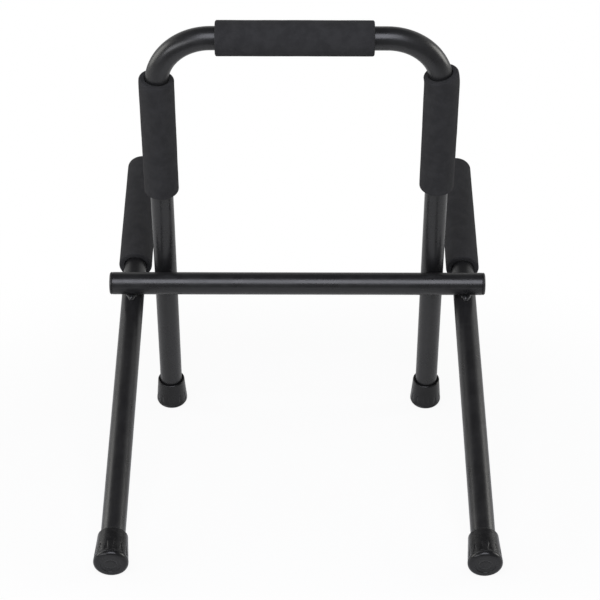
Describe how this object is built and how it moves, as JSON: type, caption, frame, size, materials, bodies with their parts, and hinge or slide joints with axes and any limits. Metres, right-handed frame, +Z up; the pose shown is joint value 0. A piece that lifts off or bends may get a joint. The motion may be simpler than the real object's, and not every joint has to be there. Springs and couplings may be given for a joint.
{
  "type": "folding amp stand",
  "caption": "Folding tilt-back floor stand for an amplifier: crossed steel tube frames with foam-sleeved seat arms and back rest, rubber feet.",
  "frame": {"origin": "on the floor under the middle of the open stand's bounding box", "axes": "+X towards the stand's right as seen from its rear, where the base legs reach out, +Y forwards along the seat arms, +Z up"},
  "size_m": [0.425, 0.5935, 0.5136],
  "materials": {
    "black_steel": "satin",
    "foam": "matte",
    "black_rubber": "satin",
    "black_plastic": "satin",
    "zinc_steel": "satin"
  },
  "bodies": {
    "base_frame": {"cross_tube": "black_steel", "base_leg_left": "black_steel", "base_leg_right": "black_steel", "leg_weld_left": "black_steel", "leg_weld_right": "black_steel", "cross_cap_left": "black_plastic", "cross_cap_right": "black_plastic", "seat_sleeve_left": "foam", "seat_sleeve_right": "foam", "arm_plug_left": "black_plastic", "arm_plug_right": "black_plastic", "base_foot_left": "black_rubber", "base_foot_right": "black_rubber", "pivot_bolt_left": "zinc_steel", "pivot_bolt_right": "zinc_steel", "pivot_nut_left": "zinc_steel", "pivot_nut_right": "zinc_steel", "pivot_washer_left": "black_plastic", "pivot_washer_right": "black_plastic", "base_saddle_outer_left": "black_plastic", "base_saddle_outer_right": "black_plastic", "base_saddle_inner_left": "black_plastic", "base_saddle_inner_right": "black_plastic"},
    "back_frame": {"back_tube": "black_steel", "top_sleeve": "foam", "back_sleeve_left": "foam", "back_sleeve_right": "foam", "back_foot_left": "black_rubber", "back_foot_right": "black_rubber", "back_saddle_outer_left": "black_plastic", "back_saddle_outer_right": "black_plastic", "back_saddle_inner_left": "black_plastic", "back_saddle_inner_right": "black_plastic"}
  },
  "joints": [
    {"name": "back_fold", "type": "hinge", "parent": "base_frame", "child": "back_frame", "pos_m": [0, 0.09512, 0.17465], "axis": [-1, 0, 0], "range_deg": [0, 88.16]}
  ]
}
